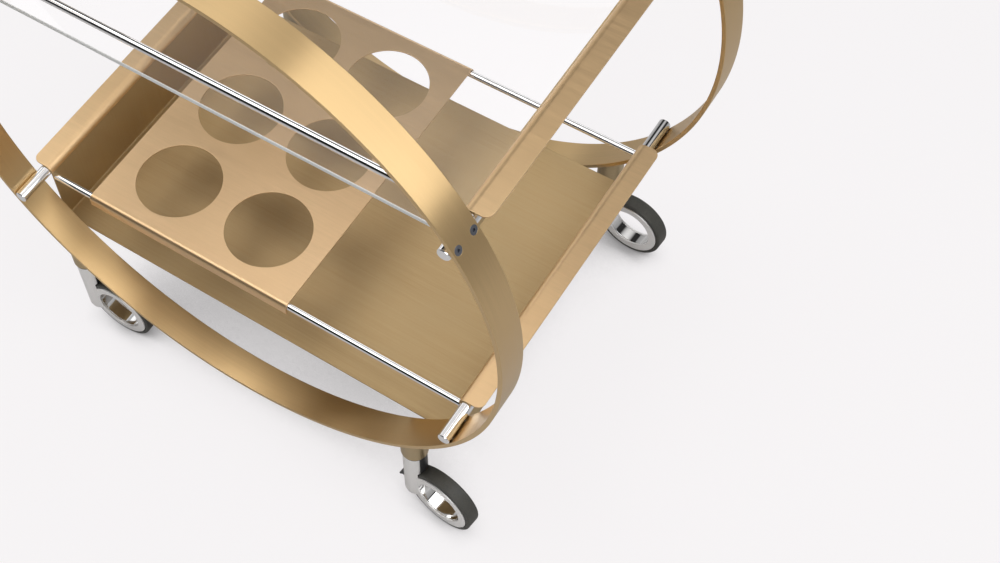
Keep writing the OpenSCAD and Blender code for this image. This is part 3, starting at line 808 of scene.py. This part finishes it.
def make_holder():
    """The bottle holder, hooked over the lower rails, with its six holes."""
    low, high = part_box("bottle_holder")
    rail_low, rail_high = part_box("rail_lower_front")
    rail_y = -(rail_low.y + rail_high.y) / 2
    rail_h = (rail_low.z + rail_high.z) / 2
    wrap = (rail_high.y - rail_low.y) / 2 + WRAP_GAP
    right = (arc(rail_y, rail_h, wrap + HOLDER_T, 90, 0, BEND_STEPS)
             + [(rail_y + wrap + HOLDER_T, low.z), (rail_y + wrap, low.z)]
             + arc(rail_y, rail_h, wrap, 0, 90, BEND_STEPS))
    left = [(-y, z) for y, z in reversed(right)]
    holder = prism("bottle_holder_sheet", right + left, low.x, high.x, ACROSS)
    middle = (low.x + high.x) / 2
    hole = bar(BOTTLE_R, -OVERRUN, HOLDER_T + OVERRUN)
    centres = [(middle + i * BOTTLE_PITCH[0] / 2, j * BOTTLE_PITCH[1], rail_h + wrap)
               for i in (-1, 1) for j in (-1, 0, 1)]
    combine(holder, [lathe("tool", hole, WHEEL_STEPS, Matrix.Translation(c)) for c in centres])
    break_edges(holder, HOLDER_BREAK)
    piece(holder, "bottle_holder", "brass_finish", [holder_brass_painted_light, edge_brass], "bottle_holder")


def make_glass():
    """The shelf's pane, with ground edges."""
    low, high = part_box("glass_shelf")
    outline = softened([(low.x, low.y), (high.x, low.y), (high.x, high.y), (low.x, high.y)],
                       GLASS_CORNER_R, GLASS_EDGE_STEPS)
    pane = prism("glass_shelf_pane", outline, low.z, high.z)
    break_edges(pane, GLASS_BREAK, steps=1)
    for face in pane.data.polygons:
        face.material_index = 0 if abs(face.normal.z) > LEVEL else EDGE_SLOT
    piece(pane, "frame", "glass", [glass, glass_edge], "glass_shelf")


def make_pads():
    """Four clear pads under the glass, in one piece."""
    low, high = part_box("shelf_pads")
    points = frame["nodes"]["shelf_pads"].data.vertices
    right = sorted({round(v.co.x, DECIMALS) for v in points if v.co.x > 0})
    pad_r = (right[-1] - right[0]) / 2
    outline = softened(bar(pad_r, low.z, high.z), [0, FINE_R, PAD_EDGE_R, 0])
    pad = lathe("shelf_pad_set", outline, SMALL_STEPS)
    repeat(pad, four_places(high.x - pad_r, high.y - pad_r))
    piece(pad, "frame", "clear_pad", [pad_clear], "shelf_pads")


def corners():
    """Name, end and side of each caster."""
    for x_name, end in ENDS:
        for y_name, side in SIDES:
            yield y_name + "_" + x_name, end, side


def make_post(corner, side):
    """A caster post whose top follows the hoop's outer face."""
    low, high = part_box("post_" + corner)
    middle = (low + high) / 2
    radius = (high.y - low.y) / 2
    outline = softened([(0, low.z), (radius - POST_EDGE, low.z), (radius, low.z + POST_EDGE),
                        (radius, high.z + 2 * OVERRUN), (0, high.z + 2 * OVERRUN)],
                       [0, POST_EDGE_R, POST_EDGE_R, 0, 0])
    post = lathe("post_" + corner + "_body", outline, ROUND_STEPS,
                 Matrix.Translation((middle.x, middle.y, 0)))
    combine(post, [lathe("tool", bar(HOOP_R, -BAND_W, BAND_W), HOOP_STEPS, hoop_place(side))])
    break_edges(post, POST_BREAK)
    piece(post, "frame", "brass_finish", [post_brass_painted_shade, edge_brass], "post_" + corner)


def make_washers():
    """Four thrust washers under the posts, in one piece."""
    low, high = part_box("thrust_washers")
    post_low, post_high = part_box("post_front_right")
    radius = high.x - (post_low.x + post_high.x) / 2
    outline = softened([(WASHER_HOLE_R, low.z), (radius, low.z), (radius, high.z),
                        (WASHER_HOLE_R, high.z)], WASHER_EDGE_R)
    washer = lathe("thrust_washer_set", outline, ROUND_STEPS)
    repeat(washer, four_places(high.x - radius, high.y - radius))
    piece(washer, "frame", "black_plastic", [black_plastic], "thrust_washers")


def housing(name):
    """The upright housing, whole, with the swivel axis along local Z."""
    outline = softened(bar(COLUMN_R, COLUMN_LOW, COLUMN_TOP),
                       [0, COLUMN_ROUND_R, COLUMN_EDGE_R, 0], COLUMN_EDGE_STEPS)
    return lathe(name, outline, ROUND_STEPS)


def wheel_place(trail):
    """Wheel centre, local Z along the wheel's axis."""
    return Matrix.Translation((trail, 0, WHEEL_R)) @ ALONG_Y


def wheel_bar(radius, low, high, trail):
    """Plain turned tool on the wheel's axis."""
    return lathe("tool", bar(radius, low, high), WHEEL_STEPS, wheel_place(trail))


def tread_tool(trail):
    """The room that the wheel turns in."""
    return wheel_bar(WHEEL_R + TREAD_GAP, -TREAD_CUT_W / 2, TREAD_CUT_W / 2, trail)


def slab(start, end, low=-FAR, high=COLUMN_TOP + FAR):
    """Tool between two places along the housing's local Y, longer than the caster in X."""
    near, past = sorted((start, end))
    return prism("tool", [(-FAR, near), (FAR, near), (FAR, past), (-FAR, past)], low, high)


def make_side_shell(trail, face):
    """One silver shell: half the housing and its ring face. face is -1 or 1 along local Y."""
    shell = housing("pattern_shell")
    combine(shell, [slab(face * CORE_W / 2, -face * FAR), tread_tool(trail)])
    ring = [(0, face * FACE_IN), (FACE_R, face * FACE_IN), (FACE_R, face * (FACE_OUT - FACE_EDGE)),
            (FACE_R - FACE_EDGE, face * FACE_OUT), (0, face * FACE_OUT)]
    combine(shell, [lathe("tool", ring, WHEEL_STEPS, wheel_place(trail))], "UNION")
    combine(shell, [wheel_bar(BORE_R, -FAR, FAR, trail)])
    break_edges(shell, SHELL_BREAK, clamp=False, limit=SQUARE)
    return shell


def make_core(trail, braked):
    """The black core between the shells, slotted where it holds a brake lever."""
    core = housing("pattern_core")
    combine(core, [slab(sign * CORE_W / 2, sign * FAR) for sign in (-1, 1)])
    combine(core, [tread_tool(trail)])
    if braked:
        wide = BRAKE_W / 2 + BRAKE_SLOT_GAP
        top = BRAKE_PIN_H + 2 * BRAKE_PIN_R + BRAKE_SLOT_GAP
        combine(core, [slab(-wide, wide, BRAKE_PIN_H - PEDAL_DROP, top)])
    break_edges(core, CORE_BREAK, clamp=False)
    return core


def make_lever(trail):
    """Brake lever, made with local Z along its pin and X and Y as its side view."""
    eye_r = 2 * BRAKE_PIN_R
    tread_x = trail - WHEEL_R
    pin_x = (tread_x - TREAD_GAP - COLUMN_R) / 2
    tip_x = -COLUMN_R - PEDAL_OUT - pin_x
    foot_x = tip_x / 2
    half = BRAKE_W / 2
    web = eye_r * 0.8
    outline = softened([(-web, 0), (web * 0.6, 0), (-web * 0.4, -web),
                        (foot_x + PEDAL_T, PEDAL_T - PEDAL_DROP), (foot_x, PEDAL_T - PEDAL_DROP),
                        (foot_x, 2 * PEDAL_T - PEDAL_DROP), (tip_x + PEDAL_T / 2, -PEDAL_DROP),
                        (tip_x, PEDAL_T / 2 - PEDAL_DROP)], [0, 0, 0, *PEDAL_CORNERS])
    lever = prism("pattern_lever", outline, -half, half)
    nub_r = BRAKE_PIN_R
    nub = Vector((tread_x - NUB_ROOM - nub_r - pin_x, WHEEL_R - BRAKE_PIN_H))
    turn = Matrix.Rotation(-BRAKE_PRESS, 4, "Z")
    arm_r = nub_r * 0.8
    arm_top = -eye_r * 0.65
    arm = [(-arm_r, arm_top), (nub.x - arm_r, nub.y), (nub.x + arm_r, nub.y), (arm_r, arm_top)]
    combine(lever, [lathe("tool", bar(eye_r, -half, half), SMALL_STEPS),
                    prism("tool", arm, -half, half, turn),
                    lathe("tool", bar(nub_r, -half, half), NUB_STEPS,
                          turn @ Matrix.Translation((nub.x, nub.y, 0)))], "UNION")
    pin_hole = bar(BRAKE_PIN_R, -half - OVERRUN, half + OVERRUN)
    combine(lever, [lathe("tool", pin_hole, SMALL_STEPS)])
    break_edges(lever, LEVER_BREAK, clamp=False, limit=SQUARE)
    lever.data.transform(Matrix.Translation((pin_x, 0, BRAKE_PIN_H)) @ UPRIGHT)
    return lever


def make_ring(trail):
    """The polished bore ring."""
    section = [(BORE_R, -FACE_IN), (BORE_R + RACE_T, -FACE_IN), (BORE_R + RACE_T, FACE_IN),
               (BORE_R, FACE_IN)]
    outline = softened(section, [RACE_EDGE_R, FINE_R, FINE_R, RACE_EDGE_R])
    return lathe("pattern_ring", outline, WHEEL_STEPS, wheel_place(trail))


def make_tyre(trail):
    """The tyre, with its foot round the wheel core."""
    half = TREAD_W / 2
    foot = FOOT_W / 2
    outline = softened([(FOOT_R, -foot), (TREAD_IN_R, -foot), (TREAD_IN_R, -half),
                        (WHEEL_R, -half), (WHEEL_R, half), (TREAD_IN_R, half),
                        (TREAD_IN_R, foot), (FOOT_R, foot)],
                       [FOOT_EDGE_R, FOOT_EDGE_R, TREAD_IN_EDGE_R, SHOULDER_R, SHOULDER_R,
                        TREAD_IN_EDGE_R, FOOT_EDGE_R, FOOT_EDGE_R], TYRE_EDGE_STEPS)
    return lathe("pattern_tyre", outline, WHEEL_STEPS, wheel_place(trail))


def copy_of(obj, name, place):
    """A copy of a finished mesh in another place."""
    made = bpy.data.objects.new(name, obj.data.copy())
    bpy.context.scene.collection.objects.link(made)
    made.data.transform(place)
    return made


def make_casters():
    """The four casters, from one pattern of each part."""
    swivel = Vector(JOINTS["swivel_front_left"]["pos_m"])
    wheel = Vector(JOINTS["spin_front_left"]["pos_m"])
    trail = (wheel - swivel).xy.length
    shells = {face: make_side_shell(trail, face) for face in (-1, 1)}
    cores = {braked: make_core(trail, braked) for braked in (False, True)}
    lever = make_lever(trail)
    ring = make_ring(trail)
    tyre = make_tyre(trail)
    for corner, end, side in corners():
        swivel = Vector(JOINTS["swivel_" + corner]["pos_m"])
        wheel = Vector(JOINTS["spin_" + corner]["pos_m"])
        heading = math.atan2(wheel.y - swivel.y, wheel.x - swivel.x)
        place = Matrix.Translation((swivel.x, swivel.y, 0)) @ Matrix.Rotation(heading, 4, "Z")
        caster, roller = "caster_" + corner, "wheel_" + corner
        for part, face in (("outer", side), ("inner", -side)):
            node = part + "_shell_" + corner
            piece(copy_of(shells[face], node + "_skin", place), caster, "satin_silver",
                  [satin_silver, satin_edge], node)
        braked = end > 0
        piece(copy_of(cores[braked], "core_" + corner + "_body", place), caster,
              "black_plastic", [black_plastic], "core_" + corner)
        piece(copy_of(ring, "bore_ring_" + corner + "_race", place), caster, "chrome",
              [bore_chrome], "bore_ring_" + corner)
        piece(copy_of(tyre, "tyre_" + corner + "_tread", place), roller, "tyre", [rubber],
              "tyre_" + corner)
        cad_piece("wheel_core_" + corner, grey_nylon)
        cad_piece("stem_" + corner, chrome)
        if braked:
            piece(copy_of(lever, "brake_lever_" + corner + "_arm", place), "brake_" + corner,
                  "black_plastic", [black_plastic], "brake_lever_" + corner)
            cad_piece("brake_pin_" + corner, chrome)
    for pattern in (*shells.values(), *cores.values(), lever, ring, tyre):
        bpy.data.objects.remove(pattern)


def make_camera():
    """The photograph's view: place and axes of the camera, its lens and its shift."""
    data = bpy.data.cameras.new("camera")
    data.sensor_width = 36
    data.lens = 58.133
    data.shift_x = 0.12739
    data.shift_y = -0.03153
    data.clip_start = 0.05
    data.clip_end = 50
    camera = bpy.data.objects.new("camera", data)
    bpy.context.scene.collection.objects.link(camera)
    right = Vector((0.82947269, 0.55583368, -0.05499071))
    down = Vector((0.44433889, -0.71631591, -0.53800973))
    ahead = Vector((-0.33843465, 0.42182986, -0.841143))
    turn = Matrix((right, -down, -ahead)).transposed().to_4x4()
    camera.matrix_world = Matrix.Translation((0.692908, -0.827628, 1.714366)) @ turn
    bpy.context.scene.camera = camera


# The floor as other things see it, its own white, what the lamps add, and the white past its end
FLOOR_REACH = 12.0
FLOOR_MATT = (0.45, 0.445, 0.44, 1)
FLOOR_WHITE = (0.930, 0.908, 0.918, 1)
FLOOR_LIT = (0.10, 0.10, 0.10, 1)
BACKDROP_WHITE = (0.861, 0.8435, 0.8505, 1)
# Share of that white that gloss sees, and what makes up for the light lost in the glass
GLOSS_SHARE = 0.2
GLASS_GAIN = 1.11
# Levels of the surround from the horizon at 0 to overhead at 1
SURROUND = ((0.0, 0.50), (0.14, 0.42), (0.40, 0.34), (0.47, 0.03), (0.74, 0.03), (0.80, 0.45),
            (0.88, 0.95))
# Two places along Y, towards the front and back from it, and the surround's share at each
FRONT = (-0.75, -0.55, 0.08, 1.0)


def make_floor():
    """Pale floor: white to the camera and in part to gloss, with the cart's soft shadow on it."""
    bm = bmesh.new()
    square = [(-1, -1), (1, -1), (1, 1), (-1, 1)]
    bm.faces.new([bm.verts.new((FLOOR_REACH * x, FLOOR_REACH * y, 0)) for x, y in square])
    floor = as_object("floor", bm)
    nodes = Finish("pale_floor")
    nodes.set(Base_Color=FLOOR_MATT, Roughness=0.9)
    # A wide soft shade under the trays, and a small dark one where a wheel touches
    wide = nodes.ranged(nodes.open_share(distance=0.24, samples=24), 0.35, 0.56, 0.33, 0.885)
    small = nodes.ranged(nodes.open_share(distance=0.035, samples=12), 0.3, 0.85, 0.55, 1.0)
    shade = nodes.maths("MULTIPLY", wide, small)
    rays = nodes.add("ShaderNodeLightPath").outputs
    # What the glass takes away is given back, so that the floor stays white behind it
    gain = nodes.ranged(rays["Is Transmission Ray"], 0.0, 1.0, 1.0, GLASS_GAIN)
    glow = nodes.add("ShaderNodeEmission")
    glow.inputs["Color"].default_value = FLOOR_WHITE
    nodes.link(nodes.maths("MULTIPLY", shade, gain), glow.inputs["Strength"])
    lit = nodes.add("ShaderNodeBsdfDiffuse")
    lit.inputs["Color"].default_value = FLOOR_LIT
    shown = nodes.add("ShaderNodeAddShader")
    nodes.link(glow.outputs[0], shown.inputs[0])
    nodes.link(lit.outputs[0], shown.inputs[1])
    share = nodes.maths("MAXIMUM", nodes.seen(rays),
                        nodes.maths("MULTIPLY", rays["Is Glossy Ray"], GLOSS_SHARE))
    nodes.link(nodes.either(share, nodes.shader.outputs[0], shown.outputs[0]), nodes.surface)
    floor.data.materials.append(nodes.material)


def make_world():
    """Studio surround: bright overhead, a dark band halfway up and grey to the horizon."""
    world = bpy.data.worlds.new("studio")
    bpy.context.scene.world = world
    world.use_nodes = True
    nodes = Nodes(world.node_tree)
    back = world.node_tree.nodes["Background"]
    split = nodes.add("ShaderNodeSeparateXYZ")
    nodes.link(nodes.add("ShaderNodeTexCoord").outputs["Generated"], split.inputs[0])
    ramp = nodes.add("ShaderNodeValToRGB")
    nodes.link(split.outputs["Z"], ramp.inputs[0])
    bands = ramp.color_ramp.elements
    while len(bands) < len(SURROUND):
        bands.new(0.5)
    for band, (at, level) in zip(bands, SURROUND):
        band.position = at
        band.color = (level, level * 0.985, level * 0.97, 1)
    nodes.link(ramp.outputs[0], back.inputs["Color"])
    # The studio's front is dark, which leaves a black line along each polished rail
    nodes.link(nodes.ranged(split.outputs["Y"], *FRONT), back.inputs["Strength"])
    # Past the floor's end, the camera sees the floor's own white
    plain = nodes.add("ShaderNodeBackground")
    plain.inputs["Color"].default_value = BACKDROP_WHITE
    share = nodes.seen(nodes.add("ShaderNodeLightPath").outputs)
    nodes.link(nodes.either(share, back.outputs[0], plain.outputs[0]),
               world.node_tree.nodes["World Output"].inputs["Surface"])


def make_lamp(name, place, aim, size, power):
    """Area lamp in watts, turned to a height on the cart's middle axis."""
    data = bpy.data.lights.new(name, "AREA")
    data.shape = "RECTANGLE"
    data.size, data.size_y = size
    data.energy = power
    lamp = bpy.data.objects.new(name, data)
    bpy.context.scene.collection.objects.link(lamp)
    lamp.location = place
    direction = Vector((0, 0, aim)) - Vector(place)
    lamp.rotation_euler = direction.to_track_quat("-Z", "Y").to_euler()


make_camera()
make_world()
make_floor()
make_lamp("overhead", place=(-0.3, -0.2, 3.0), aim=0.35, size=(2.0, 2.0), power=12)
make_lamp("left_key", place=(-1.30, -0.47, 2.55), aim=0.35, size=(1.8, 1.6), power=16.5)
make_lamp("right_fill", place=(1.67, -0.78, 2.19), aim=0.35, size=(1.6, 1.4), power=8)
make_lamp("front_low", place=(0.90, -2.30, 1.10), aim=0.25, size=(1.6, 1.0), power=14)
make_lamp("left_low", place=(-2.32, 0.85, 1.15), aim=0.35, size=(1.8, 1.2), power=5)
make_lamp("rear_low", place=(-0.64, 2.39, 0.95), aim=0.35, size=(1.8, 1.0), power=8)
make_lamp("left_near", place=(-1.1, 0, 1.3), aim=0.3, size=(0.7, 1.6), power=1.6)
make_lamp("right_near", place=(1.10, 0.1, 1.37), aim=0.4, size=(0.6, 1.42), power=8.2)

for side_name, side_sign in SIDES:
    make_hoop(side_name, side_sign)
make_hoop_screws()
for level_name in ("lower", "upper"):
    for end_name, _ in ENDS:
        make_rod("cross_rod_" + level_name + "_" + end_name)
    for side_name, _ in SIDES:
        make_rail("rail_" + level_name + "_" + side_name)
make_lower_tray()
for end_name, end_sign in ENDS:
    make_bracket(end_name, end_sign)
make_rail_screws()
make_holder()
make_glass()
make_pads()
for corner_name, _, side_sign in corners():
    make_post(corner_name, side_sign)
make_washers()
make_casters()

bpy.context.scene.view_settings.view_transform = "Standard"
